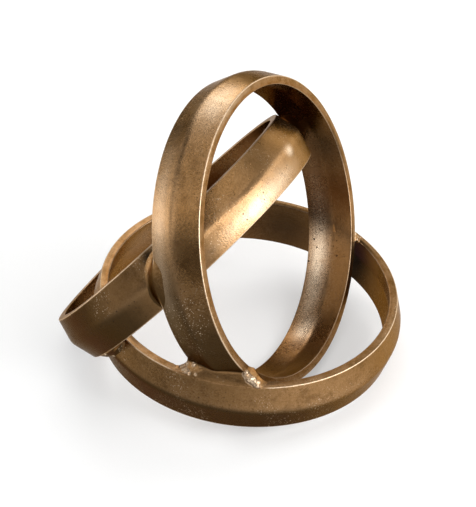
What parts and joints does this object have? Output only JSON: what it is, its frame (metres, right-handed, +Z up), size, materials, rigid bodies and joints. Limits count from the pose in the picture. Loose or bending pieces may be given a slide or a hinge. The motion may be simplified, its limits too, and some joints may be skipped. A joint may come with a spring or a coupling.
{
  "type": "knot sculpture",
  "caption": "Ornamental knot of equal ridged metal bands, each nested through the next and welded, free standing on a table.",
  "frame": {"origin": "on the table, below the middle of the sculpture's bounding box", "axes": "+Z up, +X along the plane that holds all three band axes, from the tilted band towards the upright band, +Y to the back; the bands mirror themselves in the plane Y = 0"},
  "size_m": [0.2297, 0.2084, 0.2018],
  "materials": {
    "cast_bronze": "satin, antique bronze finish on cast metal",
    "weld_bronze": "rough weld metal with an antique bronze finish"
  },
  "bodies": {
    "root": {"base_ring": "cast_bronze", "upright_ring": "cast_bronze", "tilted_ring": "cast_bronze", "weld_upright_base_front": "weld_bronze", "weld_upright_base_back": "weld_bronze", "weld_tilted_upright_front": "weld_bronze", "weld_tilted_upright_back": "weld_bronze", "weld_base_tilted_front": "weld_bronze", "weld_base_tilted_back": "weld_bronze"}
  },
  "joints": []
}
